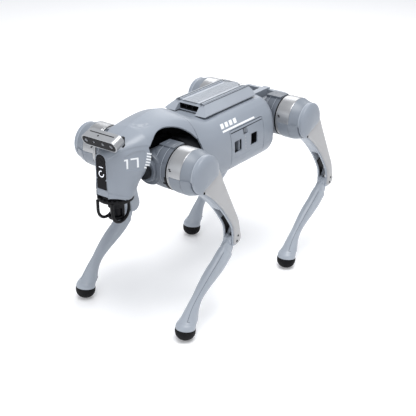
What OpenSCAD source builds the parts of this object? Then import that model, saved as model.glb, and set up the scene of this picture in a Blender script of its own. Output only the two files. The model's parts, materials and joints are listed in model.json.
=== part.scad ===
// Quadruped robot dog: a trunk with a swappable battery, a spinning range finder and four legs.
// X points to the head, Y to the robot's left, Z up. The origin lies on the ground, at the
// middle of the standing robot's footprint box.

/* [Stance] */
// Distance between the front and the rear thigh axes
wheelbase = 386.8; // [380:0.2:400]
// Distance between the left and the right abduction axes
abduction_track = 93; // [92:0.5:96]
// Distance between the left and the right leg planes
foot_track = 284; // [280:1:290]
// Length of the thigh and of the shank, axis to axis
link = 213; // [205:1:220]
// Standing angle of the thigh from the vertical, knee to the rear
thigh_lean = 28.7; // [24:0.1:32]
// Standing fold of the knee, from a straight leg
knee_fold = 74.8; // [70:0.1:80]
// Shift of the hip midpoint along X that centres the footprint box
hip_mid_x = -4.5; // [-10:0.5:0]

/* [Trunk] */
// Half the width of the trunk shell at its flanks
flank_y = 94.5; // [90:0.5:96]
// Height of the trunk shell's underside
belly_z = 277; // [270:1:282]
// Height of the payload deck's top face
deck_z = 434; // [430:0.5:438]
// Wall thickness of the moulded shells
wall = 3; // [2.5:0.1:3.5]

/* [Battery] */
// Length of the battery's door along the flank
door_l = 122; // [110:1:124]
// Height of the battery's door
door_h = 100; // [96:1:102]
// Middle of the door, along X from the hip midpoint
door_x = -41; // [-45:1:-38]

/* [Legs] */
// Radius of the thigh and knee motors
motor_r = 47; // [46:0.1:48]
// Radius of the rubber foot
foot_r = 22; // [20:0.5:23]
// Length of the knee linkage's two levers
lever = 26; // [24:0.5:27]
// Standing angle of the levers, from the thigh's upward direction to the rear
lever_lean = 63; // [60:1:66]

/* [Payload deck] */
// Distance between the payload screws along X
payload_x = 120; // [100:1:130]
// Distance between the payload screws along Y
payload_y = 60; // [60:1:60]
// Radius of a payload screw hole
payload_hole_r = 1.6; // [1.4:0.1:1.6]

/* [Hidden] */
$fn = 48;
hip_x = wheelbase / 2;
hip_y = abduction_track / 2;
leg_y = foot_track / 2;
drop = link * (cos(thigh_lean) + cos(knee_fold - thigh_lean));
hip_z = foot_r + drop;
gap = 0.4;
fit = 0.05;
seam_x = 118;
rear_x = -145;
nose_x = 322;
door_z = hip_z - 27.5;
battery_rear = -81;
battery_front = 14;
battery_top = 357;
housing_end = 93.6;
ring_start = 94;
ring_end = 128.6;
barrel_r = 34;
stub_r = 12;
axle_r = 14;
swing_r = 69.5;
swing_out = 48;
pad_r = 8;
pad_x = -114;
pad_y = 48;
cover_front = seam_x - 16;
cover_rear = rear_x + 7;
thigh_in = leg_y - 13.4;
fork_in = leg_y - 8.6;
fork_out = leg_y + 8.6;
thigh_out = leg_y + 16;
lever_y = leg_y - 0.8;
knee_pin_r = 5;
link_pin_r = 2.5;
lidar_x = 284;
shell_steps = 3;

LEGS = [["fl", 1, 1], ["fr", 1, -1], ["rl", -1, 1], ["rr", -1, -1]];
LEG_NODES = ["hip_housing", "calf_motor", "thigh_frame", "thigh_cover", "dome_cap",
    "knee_crank", "knee_rod", "shank", "foot"];
TRUNK_NODES = ["chassis", "head_shell", "body_shell", "belly_cover", "front_cover", "rear_cover",
    "payload_deck", "deck_vents", "face_panel", "face_lights", "depth_camera", "depth_camera_window",
    "camera_bracket", "lidar_base", "lidar_guard", "lidar_rotor", "hip_motors", "belly_pads",
    "body_screws", "control_board", "battery_pack", "front_latch", "rear_latch", "power_button"];

// ---- Curves and lofts ----

// Catmull-Rom value between b and c, with neighbours a and d.
function spline(a, b, c, d, t) = b + 0.5 * t * (c - a + t * (2 * a - 5 * b + 4 * c - d
    + t * (3 * (b - c) + d - a)));
// Row of a station table at place u, whose first column is the place.
function row_at(rows, u, i = 0) = i < len(rows) - 2 && rows[i + 1][0] < u ? row_at(rows, u, i + 1)
    : spline(rows[max(i - 1, 0)], rows[i], rows[i + 1], rows[min(i + 2, len(rows) - 1)],
        (u - rows[i][0]) / (rows[i + 1][0] - rows[i][0]));
// Points along a smooth open line through the given points.
function smooth_line(p, steps) = [for (i = [0 : len(p) - 2]) for (k = [0 : steps - 1])
    spline(p[max(i - 1, 0)], p[i], p[i + 1], p[min(i + 2, len(p) - 1)], k / steps)];
function mirrored_ring(half) = concat(half,
    [for (i = [len(half) - 1 : -1 : 0]) if (half[i][0] > 0.01) [-half[i][0], half[i][1]]]);

// Closed solid through rings of points that all have the same count. Seen from the end that the
// rings run towards, each ring turns clockwise.
module loft(rings) {
    n = len(rings[0]);
    last = len(rings) - 1;
    sides = [for (i = [0 : last - 1]) for (j = [0 : n - 1]) let (k = (j + 1) % n)
        each [[i * n + j, i * n + k, (i + 1) * n + k], [i * n + j, (i + 1) * n + k, (i + 1) * n + j]]];
    polyhedron([for (r = rings) each r], concat(sides, [[for (j = [n - 1 : -1 : 0]) j]],
        [[for (j = [0 : n - 1]) last * n + j]]));
}

module on_body() translate([hip_mid_x, 0, 0]) children();
module along_x(x0, x1, r) translate([x0, 0, 0]) rotate([0, 90, 0]) cylinder(r = r, h = x1 - x0);
module along_y(y0, y1, r) translate([0, y0, 0]) rotate([-90, 0, 0]) cylinder(r = r, h = y1 - y0);
module block(lo, hi) translate(lo) cube(hi - lo);
module both_sides() for (s = [0, 1]) mirror([0, s, 0]) children();
module both_ends() for (s = [0, 1]) mirror([s, 0, 0]) children();

// ---- Trunk shells ----

// Half section of the trunk at its middle, from belly to back, as Y and Z in turn.
body_half = [0, belly_z, 58, belly_z + 1, 82, belly_z + 11, flank_y - 0.5, belly_z + 35,
    flank_y, belly_z + 76, 84, belly_z + 109, 58, belly_z + 131, 0, belly_z + 135];
body_mid_z = belly_z + 68;
rear_half = [for (k = [0 : 15]) k % 2 == 0 ? body_half[k] * 0.97
    : body_mid_z + (body_half[k] - body_mid_z) * 0.96];
// Stations of the trunk: a place along X, then the eight points of the half section there.
trunk_rows = [
    concat([rear_x], rear_half),
    concat([rear_x + 9], body_half),
    concat([0], body_half),
    concat([65], body_half),
    [seam_x, 0, 298, 58, 300, 80, 309, 92, 330, 92, 356, 81, 392, 55, 424, 0, 438],
    [150, 0, 330, 50, 332, 70, 338, 86, 352, 84, 372, 72, 406, 48, 432, 0, 449],
    [195, 0, 350, 40, 352, 55, 354, 70, 360, 70, 380, 62, 410, 44, 432, 0, 448],
    [240, 0, 336, 22, 338, 44, 350, 61, 366, 62, 392, 52, 416, 36, 430, 0, 438],
    [262, 0, 306, 30, 307, 38, 330, 50, 362, 51, 392, 44, 413, 30, 424, 0, 430],
    [284, 0, 303, 36, 304, 37.5, 330, 37.5, 362, 38, 392, 34, 406, 24, 416, 0, 421],
    [308, 0, 303, 26, 304, 26, 330, 22, 362, 22, 388, 20, 402, 14, 410, 0, 413],
    [nose_x, 0, 306, 14, 307, 16, 330, 14, 362, 14, 388, 13, 399, 9, 405, 0, 407]];

function trunk_half(x) = let (r = row_at(trunk_rows, x)) [for (k = [0 : 7]) [r[1 + 2 * k], r[2 + 2 * k]]];
// Ring of the trunk at x, pulled in by the inset towards its middle.
function trunk_ring(x, inset) = let (h = trunk_half(x), mid = (h[0][1] + h[7][1]) / 2,
        tall = (h[7][1] - h[0][1]) / 2, line = concat(smooth_line(h, shell_steps), [h[7]]))
    [for (p = mirrored_ring(line)) [x, p[0] * (1 - inset / max(h[3][0], h[4][0])),
        mid + (p[1] - mid) * (1 - inset / tall)]];
module trunk_solid(x0, x1, inset, steps) loft([for (i = [steps : -1 : 0])
    trunk_ring(x0 + (x1 - x0) * i / steps, inset)]);

// Room for the hip housings and thigh motors to swing in, with the arches above them.
module hip_room() both_sides() {
    translate([hip_x, hip_y, hip_z]) intersection() {
        sphere(r = swing_r);
        block([-52, -swing_r, -swing_r], [49, swing_r, swing_r]);
    }
    translate([hip_x, hip_y, hip_z]) rotate([swing_out, 0, 0]) along_y(30, 90, motor_r + 1.5);
    translate([0, hip_y, hip_z]) along_x(hip_x - 56, hip_x + 53, barrel_r + 2);
    block([hip_x - 56, -1, belly_z - 40], [hip_x + 49, hip_y + swing_r, hip_z]);
    translate([hip_x - 12, 58, hip_z]) intersection() {
        along_y(0, 60, 62);
        block([-80, 0, -100], [60, 60, 90]);
    }
}
// Plate that carries the outer hip bearings.
module bearing_plate(grow) {
    both_sides() translate([0, hip_y, hip_z]) along_x(hip_x + 53.4 - grow, hip_x + 58.5 + grow, 17 + grow);
    block([hip_x + 53.4 - grow, -hip_y, hip_z - 12 - grow], [hip_x + 58.5 + grow, hip_y, hip_z + 12 + grow]);
}
// Outline of the upright face panel, drawn in the YZ plane and pushed along X.
module panel_solid(x0, x1, half, top) {
    block([x0, -half, hip_z - 26], [x1, half, top - half]);
    translate([0, 0, top - half]) along_x(x0, x1, half);
}

module head_shell() color("lightsteelblue") on_body() difference() {
    trunk_solid(seam_x, nose_x, 0, 17);
    trunk_solid(seam_x - 2, nose_x - 4, wall, 17);
    hip_room();
    block([seam_x - 1, -100, 250], [hip_x + 49, 100, hip_z + 18]);
    translate([lidar_x, 0, 290]) cylinder(r = 32, h = 20);
    panel_solid(nose_x - 6, nose_x + 5, 13.2, 404);
    bearing_plate(0.6);
}
module body_shell() color("lightsteelblue") on_body() difference() {
    trunk_solid(rear_x, seam_x - gap, 0, 14);
    trunk_solid(rear_x - 2, seam_x + 2, wall, 10);
    block([cover_rear - 0.4, -60, belly_z - 5], [cover_front + 0.4, 60, belly_z + 40]);
    block([door_x - door_l / 2, 50, door_z - door_h / 2], [door_x + door_l / 2, 110, door_z + door_h / 2]);
    block([-118, -46, deck_z - 28], [36, 46, deck_z]);
    hip_room();
}
// Flat cover that closes an end of the body shell, with room for the two hip motors.
module end_cover(x, thick) difference() {
    translate([x, 0, 0]) rotate([90, 0, 90]) linear_extrude(thick)
        polygon([for (p = trunk_ring(x, wall + 2.5)) [p[1], p[2]]]);
    both_sides() translate([0, hip_y, hip_z]) along_x(x - 1, x + thick + 1, 38.5);
    block([x - 1, -5.4, hip_z - 22.4], [x + thick + 1, 5.4, hip_z + 30.4]);
}
module front_cover() color("dimgray") on_body() end_cover(seam_x - 6, 2.5);
module rear_cover() color("lightsteelblue") on_body() {
    end_cover(rear_x + 1, 2.5);
    difference() {
        union() {
            block([-hip_x - 62, -8, hip_z - 26], [rear_x + 1, 8, hip_z + 34]);
            block([-hip_x - 62, -hip_y, hip_z - 22], [-hip_x - 52.6, hip_y, hip_z + 30]);
            both_sides() translate([0, hip_y, hip_z + 4]) along_x(-hip_x - 62, -hip_x - 52.6, 26);
        }
        block([-hip_x - 59, -5.4, hip_z - 22.4], [rear_x + 2, 5.4, hip_z + 30.4]);
        mirror([1, 0, 0]) bearing_plate(0.4);
        both_sides() translate([0, hip_y, hip_z]) along_x(-hip_x - 56, -hip_x - 40, 26.5);
    }
}

// ---- Inside the trunk ----

bulkhead_x = 84;
tray_z = belly_z + 12;
module chassis() color("darkgray") on_body() {
    block([-bulkhead_x - 1, -40, tray_z], [bulkhead_x + 1, 40, tray_z + 3]);
    block([-bulkhead_x, -70, 366], [bulkhead_x, 70, 369]);
    for (x = [-50, 50], y = [-34, 34]) translate([x, y, 369]) cylinder(r = 5, h = 34);
    both_ends() {
        difference() {
            union() {
                block([bulkhead_x, -40, tray_z], [bulkhead_x + 5, 40, tray_z + 30]);
                block([bulkhead_x, -74, tray_z + 15], [bulkhead_x + 5, 74, 383]);
            }
            both_sides() translate([0, hip_y, hip_z]) along_x(bulkhead_x - 1, bulkhead_x + 6, 12);
        }
        block([bulkhead_x + 5, -5, hip_z - 22], [hip_x + 58.5, 5, hip_z + 30]);
        bearing_plate(0);
        both_sides() translate([0, hip_y, hip_z]) along_x(hip_x + 44, hip_x + 54, stub_r);
    }
}
module hip_motors() color("dimgray") on_body() both_ends() both_sides() translate([0, hip_y, hip_z]) {
    along_x(bulkhead_x + 5, hip_x - 47 - gap, 38);
    along_x(hip_x - 48, hip_x - 38, 8);
}
module control_board() color("seagreen") on_body() {
    block([-44, -28, 378], [42, 28, 380]);
    for (x = [-36 : 27 : 18]) block([x, -20, 380], [x + 18, 20, 388]);
    for (x = [-38, 36], y = [-22, 22]) translate([x, y, 369]) cylinder(r = 3, h = 9);
}
module belly_cover() color("slategray") on_body() difference() {
    intersection() {
        trunk_solid(cover_rear - 3, cover_front + 3, 0.05, 9);
        block([cover_rear, -59.6, belly_z - 5], [cover_front, 59.6, belly_z + 40]);
    }
    trunk_solid(cover_rear - 5, cover_front + 5, wall, 9);
    screw_places() cylinder(r = 1.6, h = 20, center = true);
}
module screw_places() for (x = [-128, -30, 60], y = [-50, 50]) translate([x, y, belly_z]) children();
module body_screws() color("black") on_body() screw_places() {
    translate([0, 0, -1.4]) cylinder(r = 3, h = 1.8);
    cylinder(r = 1.5, h = 6);
}
module belly_pads() color("black") on_body() difference() {
    for (x = [pad_x, 46]) both_sides() translate([x, pad_y, belly_z - 5]) cylinder(r = pad_r, h = 8);
    trunk_solid(cover_rear - 3, cover_front + 3, 0.05, 9);
}

// ---- Payload deck ----

// Half profile of the deck from its bottom centre round to its top centre.
deck_half = [[0, deck_z - 21], [46, deck_z - 21], [49, deck_z - 20.5], [54.5, deck_z - 20],
    [54.5, deck_z - 18],
    [36, deck_z]];
module deck_profile() for (s = [0, 1]) mirror([s, 0]) {
    polygon(concat(deck_half, [[0, deck_z]]));
    for (y = [payload_y / 2 - 4.4, payload_y / 2 + 2.1]) translate([y, deck_z - 1]) square([2.3, 3]);
}
module payload_deck() color("silver") on_body() difference() {
    translate([-126, 0, 0]) rotate([90, 0, 90]) linear_extrude(186) deck_profile();
    for (y = concat([for (k = [0 : 8]) -16 + 4 * k], [-37, 37]))
        block([-130, y - 0.6, deck_z - 0.8], [47, y + 0.6, deck_z + 1]);
    block([45, -27, deck_z - 30], [70, 27, deck_z + 5]);
    translate([41, 0, deck_z]) rotate([0, 43, 0]) block([0, -70, -2], [60, 70, 30]);
    both_sides() translate([-126, 44, deck_z - 30]) rotate([0, 0, 125]) block([-30, 0, 0], [30, 30, 60]);
    translate([-126, 0, deck_z - 12]) rotate([0, -50, 0]) block([-40, -70, 0], [0, 70, 40]);
    block([20, -25.2, deck_z - 19], [46, 25.2, deck_z - 6]);
    block([-110, -40, deck_z - 23], [20, 40, deck_z - 8]);
    for (sx = [-0.5, 0.5], sy = [-0.5, 0.5]) translate([-37 + sx * payload_x, sy * payload_y, deck_z - 30])
        cylinder(r = payload_hole_r, h = 40);
}
module deck_vents() color("black") on_body() difference() {
    block([30, -25, deck_z - 18.8], [44.5, 25, deck_z - 6.2]);
    for (y = [-23, -7, 9]) block([34, y, deck_z - 17], [45, y + 14, deck_z - 8]);
}

// ---- Head ----

module face_panel() color("black") on_body() difference() {
    panel_solid(nose_x - 5.5, nose_x - 0.5, 13, 403.8);
    translate([0, 0, 390]) along_x(nose_x - 2, nose_x + 1, 5.5);
    translate([0, 0, 362]) along_x(nose_x - 2, nose_x + 1, 7);
}
module face_lights() color("white") on_body() {
    translate([0, 0, 390]) along_x(nose_x - 2, nose_x - 0.7, 5);
    translate([nose_x - 2, 0, 362]) rotate([90, 0, 90]) rotate_extrude(angle = 300, start = 60)
        translate([4.6, 0]) square([2, 1.6]);
    translate([0, 0, 362]) along_x(nose_x - 2, nose_x - 0.8, 3);
}
camera_pitch = 20;
module at_depth_camera() on_body() translate([nose_x + 2, 0, 426.5]) rotate([0, camera_pitch, 0]) children();
module bar_solid(x0, x1, half, r) {
    both_sides() translate([0, half - r, 0]) along_x(x0, x1, r);
    block([x0, r - half, -r], [x1, half - r, r]);
}
module depth_camera() color("silver") at_depth_camera() difference() {
    bar_solid(-25, 0, 45, 12.5);
    bar_solid(-1.5, 1, 43, 10.5);
    block([-16, -32, 11.5], [-13, 32, 14]);
}
module depth_camera_window() color("black") at_depth_camera() difference() {
    bar_solid(-1.4, -0.3, 42.8, 10.3);
    for (y = [-34, -14, 12, 32]) translate([0, y, 0]) along_x(-0.9, 0, 5);
}
module camera_bracket() color("black") {
    at_depth_camera() block([-34, -17, -14.6], [-8, 17, -12.6]);
    on_body() difference() {
        both_sides() block([nose_x - 40, 12, 404], [nose_x - 32, 18, 426]);
        trunk_solid(seam_x, nose_x, 0, 17);
    }
}
module lidar_guard() color("black") on_body() {
    difference() {
        translate([lidar_x, 0, 298]) cylinder(r = 37.5, h = 4.6);
        translate([lidar_x, 0, 290]) cylinder(r = 17.2, h = 20);
    }
    for (y = [-19.6, 19.6]) translate([lidar_x + 8, y, 279]) {
        rotate([90, 0, 0]) rotate_extrude(angle = 180, start = 180) translate([24, 0]) circle(r = 2.6);
        for (x = [-24, 24]) translate([x, 0, 0]) cylinder(r = 2.6, h = 20);
    }
}
module lidar_base() color("black") on_body() translate([lidar_x, 0, 0]) difference() {
    union() {
        translate([0, 0, 256]) cylinder(r = 16.8, h = 46);
        translate([0, 0, 303]) cylinder(r = 30, h = 6);
        translate([0, 0, 300]) cylinder(r = 16.8, h = 4);
    }
    translate([0, 0, 259]) cylinder(r = 14, h = 27);
    translate([0, 0, 285]) cylinder(r = 3 + fit, h = 10);
    block([0, -20, 263], [20, 20, 281]);
}
module lidar_rotor() color("gray") on_body() translate([lidar_x, 0, 0]) {
    translate([0, 0, 260]) cylinder(r = 12, h = 24);
    translate([0, 0, 284]) cylinder(r = 3, h = 10);
}

// ---- Battery ----

latch_l = 27;
latch_h = 27;
latch_z = door_z + 11;
front_latch_x = door_x + 37;
rear_latch_x = door_x - 22;
latch_out = 92;
grip_half = 1.6;
grip_off = 7.5;
button_x = door_x + 7;
button_z = door_z + door_h / 2 - 12;
module latch_pocket(x) {
    block([x - latch_l / 2, 78, latch_z - latch_h / 2], [x + latch_l / 2, 110, latch_z + latch_h / 2]);
    block([x - 12.5, 70, latch_z - 6], [x + 12.5, 79, latch_z + 6]);
}
module battery_pack() color("lightsteelblue") on_body() difference() {
    union() {
        intersection() {
            difference() {
                trunk_solid(door_x - door_l / 2 - 5, door_x + door_l / 2 + 5, 0.05, 1);
                trunk_solid(door_x - door_l / 2 - 9, door_x + door_l / 2 + 9, wall, 1);
            }
            block([door_x - door_l / 2 + 0.5, 60, door_z - door_h / 2 + 0.5],
                [door_x + door_l / 2 - 0.5, 110, door_z + door_h / 2 - 0.5]);
        }
        block([battery_rear, -40, tray_z + 3.6], [battery_front, 86, battery_top]);
        block([battery_rear, 85, door_z - 27], [battery_front, 92.3, door_z + 27]);
        block([battery_rear, 80, door_z - 27], [battery_front, 86, door_z + 46]);
    }
    latch_pocket(front_latch_x);
    latch_pocket(rear_latch_x);
    block([button_x - 8, 85.5, button_z - 8], [button_x + 8, 110, button_z + 8]);
    translate([button_x, 70, button_z]) rotate([-90, 0, 0]) cylinder(r = 3 + fit, h = 20);
}
// A latch is a grip plate with a foot that runs in the pocket's guide slot. Its foot points outwards.
module latch(x, out) translate([x, 0, latch_z]) mirror([out < 0 ? 1 : 0, 0, 0]) {
    block([-grip_half, 78.4, -12.5], [grip_half, latch_out, 12.5]);
    block([-grip_half, 71, -5.6], [5, 78.5, 5.6]);
}
module front_latch() color("lightsteelblue") on_body() latch(front_latch_x - grip_off, 1);
module rear_latch() color("lightsteelblue") on_body() latch(rear_latch_x + grip_off, -1);
module power_button() color("lightgray") on_body() {
    block([button_x - 5, 88, button_z - 5], [button_x + 5, 91, button_z + 5]);
    translate([button_x, 0, button_z]) along_y(77, 88.1, 3);
}

// ---- Legs ----

module at_hip(leg) mirror([0, leg[2] < 0 ? 1 : 0, 0])
    translate([hip_mid_x + leg[1] * hip_x, 0, hip_z]) children();
module at_thigh(leg) at_hip(leg) rotate([0, thigh_lean, 0]) children();
module at_shank(leg) at_thigh(leg) translate([0, 0, -link]) rotate([0, -knee_fold, 0]) children();
// Outline of the thigh's side, in thigh axes with the hip at the top: rows of distance below the
// hip, rear edge and front edge.
thigh_rows = [[20, -40, 32], [52, -38.5, 17], [82, -37.5, 6.5], [117, -36.5, -2], [150, -35.5, -6.5],
    [180, -34, -8], [200, -28.5, -2]];
fork_at = [-7, -213];
fork_r = 17.5;
head_r = 41;
function arc(c, r, a0, a1, n) = [for (k = [0 : n]) let (a = a0 + (a1 - a0) * k / n)
    [c[0] + r * cos(a), c[1] + r * sin(a)]];
function edge(col) = concat(smooth_line([for (r = thigh_rows) [r[col], -r[0]]], 3),
    [[thigh_rows[6][col], -thigh_rows[6][0]]]);
function flip(list) = [for (i = [len(list) - 1 : -1 : 0]) list[i]];
thigh_outline = concat(arc([0, 0], head_r, 25, 185, 16), edge(1), arc(fork_at, fork_r, 200, 335, 9),
    flip(edge(2)));
module thigh_plate(y0, y1) rotate([90, 0, 0]) translate([0, 0, -y1])
    linear_extrude(y1 - y0) polygon(thigh_outline);
// Place of the lever pin about a lever's own axis, in thigh axes.
lever_pin = [-lever * sin(lever_lean), lever * cos(lever_lean)];

module hip_housing(leg) color("slategray") at_hip(leg) mirror([leg[1] < 0 ? 1 : 0, 0, 0]) difference() {
    union() {
        translate([0, hip_y, 0]) along_x(-47, 44, barrel_r);
        translate([0, hip_y, 0]) along_x(44, 52, 24);
        along_y(hip_y, housing_end, motor_r);
        along_y(housing_end - 1, 112, axle_r);
    }
    translate([0, hip_y, 0]) along_x(43.5, 53, stub_r + fit);
    translate([0, hip_y, 0]) along_x(-48, -37.5, 8 + fit);
}
module calf_motor(leg) color("silver") at_thigh(leg) difference() {
    along_y(ring_start, ring_end, motor_r);
    along_y(ring_start - 1, 113, axle_r + fit);
}
module thigh_frame(leg) color("slategray") at_thigh(leg) {
    difference() {
        union() {
            translate([0, ring_end, 0]) rotate([-90, 0, 0])
                cylinder(r1 = motor_r, r2 = head_r, h = fork_out - ring_end);
            thigh_plate(thigh_in, fork_in);
            intersection() {
                thigh_plate(fork_in - 0.1, fork_out);
                union() {
                    block([-60, 0, -180], [-31.5, 200, -30]);
                    block([-2, 0, -112], [60, 200, -30]);
                }
            }
        }
        along_y(fork_in, fork_out + 1, lever + 7);
        block([-31.5, fork_in, -150], [-8.5, fork_out + 1, 0]);
        along_y(ring_end - 1, fork_out, 8 + fit);
    }
    translate([0, 0, -link]) along_y(fork_in - 0.1, fork_out, knee_pin_r);
}
module thigh_cover(leg) color("gainsboro") at_thigh(leg) {
    thigh_plate(fork_out, thigh_out - 3);
    intersection() {
        thigh_plate(thigh_out - 3, thigh_out);
        translate([-2.4, 0, 0]) thigh_plate(thigh_out - 4, thigh_out + 1);
        translate([2.4, 0, 3]) thigh_plate(thigh_out - 4, thigh_out + 1);
    }
}
dome_r = 34;
dome_h = 11;
module dome_cap(leg) color("lightsteelblue") at_thigh(leg) intersection() {
    sphere_r = (dome_r * dome_r + dome_h * dome_h) / (2 * dome_h);
    translate([-2, thigh_out + dome_h - sphere_r, 6]) sphere(r = sphere_r, $fn = 96);
    block([-60, thigh_out, -60], [60, thigh_out + 30, 60]);
}
module knee_crank(leg) color("dimgray") at_thigh(leg) {
    along_y(fork_in + gap, lever_y, 10);
    along_y(ring_end + 2, fork_in + 1, 8);
    translate([lever_pin[0], 0, lever_pin[1]]) {
        along_y(fork_in + gap, lever_y, 5);
        along_y(lever_y - 0.1, fork_out - gap, link_pin_r);
    }
    intersection() {
        along_y(fork_in + gap, lever_y, lever);
        rotate([0, -lever_lean, 0]) block([-5, 0, 0], [5, 200, lever]);
    }
}
module knee_rod(leg) color("dimgray") at_thigh(leg) translate([lever_pin[0], 0, lever_pin[1]]) difference() {
    union() {
        block([-3, lever_y + gap, -link], [3, fork_out - gap, 0]);
        for (z = [0, -link]) translate([0, 0, z]) along_y(lever_y + gap, fork_out - gap, 5);
    }
    along_y(lever_y, fork_out, link_pin_r + 0.25);
    translate([0, 0, -link]) along_y(lever_y, fork_out, link_pin_r + fit);
}
foot_cut = 208.6;
// Stations of the shank below the knee: distance, centre along X, half width, half thickness.
shank_rows = [[14, -6, 15, 7], [30, -6, 19, 8.5], [54, -2, 18.5, 11], [85, 5, 16, 12.5],
    [120, 11.5, 12.5, 11.5],
    [144, 13, 11.2, 11], [165, 11, 13.5, 13], [183, 6.5, 17, 16.5], [200, 1.2, 20.6, 20.6],
    [foot_cut, 0, 21.2, 21.2]];
shank_points = 24;
function shank_ring(u) = let (r = row_at(shank_rows, u)) [for (k = [0 : shank_points - 1])
    let (a = 360 * k / shank_points) [r[1] + r[2] * cos(a), leg_y + r[3] * sin(a), -u]];
module shank(leg) color("lightsteelblue") at_shank(leg) difference() {
    union() {
        loft([for (k = [0 : 16]) shank_ring(14 + (foot_cut - 14) * k / 16)]);
        along_y(fork_in + gap, lever_y, 13);
        along_y(lever_y - 0.1, fork_out - gap, 10.5);
        block([-12, fork_in + gap, -22], [9, lever_y, 0]);
        rotate([0, knee_fold - lever_lean, 0]) {
            block([-5, fork_in + gap, 0], [5, lever_y, lever]);
            translate([0, 0, lever]) {
                along_y(fork_in + gap, lever_y, 5);
                along_y(lever_y - 0.1, fork_out - gap, link_pin_r);
            }
        }
    }
    along_y(100, 180, knee_pin_r + fit);
}
module foot(leg) color("black") at_shank(leg) intersection() {
    translate([0, leg_y, -link]) sphere(r = foot_r, $fn = 64);
    block([-40, leg_y - 40, -link - 40], [40, leg_y + 40, -foot_cut]);
}

// ---- Parts ----

chassis();
head_shell();
body_shell();
belly_cover();
front_cover();
rear_cover();
payload_deck();
deck_vents();
face_panel();
face_lights();
depth_camera();
depth_camera_window();
camera_bracket();
lidar_base();
lidar_guard();
lidar_rotor();
hip_motors();
belly_pads();
body_screws();
control_board();
battery_pack();
front_latch();
rear_latch();
power_button();
for (leg = LEGS) {
    hip_housing(leg);
    calf_motor(leg);
    thigh_frame(leg);
    thigh_cover(leg);
    dome_cap(leg);
    knee_crank(leg);
    knee_rod(leg);
    shank(leg);
    foot(leg);
}
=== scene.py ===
"""Looks of a quadruped robot dog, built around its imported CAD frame, in the frame's own axes.

Shapes are made in millimetres and written in metres. Trunk places count X from the hip midpoint.
"""
import json
import math

import bmesh
import bpy
import numpy as np
from mathutils import Matrix, Vector


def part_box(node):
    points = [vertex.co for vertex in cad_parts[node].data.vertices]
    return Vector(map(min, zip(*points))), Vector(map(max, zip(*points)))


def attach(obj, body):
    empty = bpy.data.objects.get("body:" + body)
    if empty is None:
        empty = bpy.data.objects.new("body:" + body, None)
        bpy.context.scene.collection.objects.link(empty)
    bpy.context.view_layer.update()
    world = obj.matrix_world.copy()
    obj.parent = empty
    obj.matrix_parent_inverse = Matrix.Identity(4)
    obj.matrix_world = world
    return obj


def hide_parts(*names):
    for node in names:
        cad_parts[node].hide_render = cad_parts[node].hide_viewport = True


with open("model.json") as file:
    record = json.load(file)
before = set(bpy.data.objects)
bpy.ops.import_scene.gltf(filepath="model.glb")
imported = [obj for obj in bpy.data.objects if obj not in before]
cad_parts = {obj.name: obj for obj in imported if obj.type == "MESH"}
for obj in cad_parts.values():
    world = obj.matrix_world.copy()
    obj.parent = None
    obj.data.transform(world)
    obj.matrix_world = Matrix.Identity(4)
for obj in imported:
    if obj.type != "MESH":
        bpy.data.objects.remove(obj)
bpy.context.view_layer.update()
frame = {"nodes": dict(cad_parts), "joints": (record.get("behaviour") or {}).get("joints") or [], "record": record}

# ---- Places taken from the frame, in millimetres ----

MM = 0.001
joint_at = {j["name"]: Vector(j["pos_m"]) / MM for j in frame["joints"] if "pos_m" in j}
front_hip = joint_at["fl_thigh_swing"]
rear_hip = joint_at["rl_thigh_swing"]
front_knee = joint_at["fl_knee"]
MID_X = (front_hip.x + rear_hip.x) / 2
HIP_X = (front_hip.x - rear_hip.x) / 2
HIP_Z = front_hip.z
LEG_Y = front_hip.y
ROLL_Y = joint_at["fl_abduction"].y
LINK = (front_hip - front_knee).length
FOOT_R = (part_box("fl_foot")[1].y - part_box("fl_foot")[0].y) / 2 / MM
LEAN = math.atan2(front_hip.x - front_knee.x, front_hip.z - front_knee.z)
FOLD = LEAN + math.acos((front_knee.z - FOOT_R) / LINK)
LIDAR_X = joint_at["lidar_spin"].x - MID_X
NOSE_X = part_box("head_shell")[1].x / MM - MID_X
REAR_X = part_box("body_shell")[0].x / MM - MID_X
SEAM_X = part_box("body_shell")[1].x / MM - MID_X

TRUNK = Matrix.Translation((MID_X, 0, 0))
LEGS = [("fl", 1, 1), ("fr", 1, -1), ("rl", -1, 1), ("rr", -1, -1)]


def turn(angle):
    return Matrix.Rotation(angle, 4, "Y")


def leg_place(end, side):
    """Frame of a leg's hip: Y outwards from the robot's middle plane, Z up."""
    return Matrix.Translation((MID_X + end * HIP_X, 0, HIP_Z)) @ Matrix.Diagonal((1, side, 1, 1))


# ---- Mesh making ----


def join(*shapes):
    verts, faces = [], []
    for v, f in shapes:
        start = len(verts)
        verts += [tuple(p) for p in v]
        faces += [tuple(i + start for i in face) for face in f]
    return verts, faces


def moved(shape, place):
    return [tuple(place @ Vector(v)) for v in shape[0]], shape[1]


def standing(shape):
    """Stands a shape made along Y up along Z."""
    return [(x, z, y) for x, y, z in shape[0]], shape[1]


def piece(name, shape, place, body, slot, closed=True, sharp=34, nodes=()):
    """Mesh object that rides on a body, takes a record slot's material and may stand for CAD nodes."""
    mesh = bpy.data.meshes.new(name)
    mesh.from_pydata([(place @ Vector(v)) * MM for v in shape[0]], [], shape[1])
    work = bmesh.new()
    work.from_mesh(mesh)
    if closed:
        bmesh.ops.recalc_face_normals(work, faces=work.faces)
    elif place.determinant() < 0:
        bmesh.ops.reverse_faces(work, faces=work.faces)
    work.to_mesh(mesh)
    work.free()
    mesh.polygons.foreach_set("use_smooth", [True] * len(mesh.polygons))
    mesh.set_sharp_from_angle(angle=math.radians(sharp))
    obj = bpy.data.objects.new(name, mesh)
    bpy.context.scene.collection.objects.link(obj)
    normals = obj.modifiers.new("normals", "WEIGHTED_NORMAL")
    normals.keep_sharp = True
    mesh.materials.append(FINISH[slot])
    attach(obj, body)
    if nodes:
        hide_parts(*nodes)
    return obj


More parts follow.
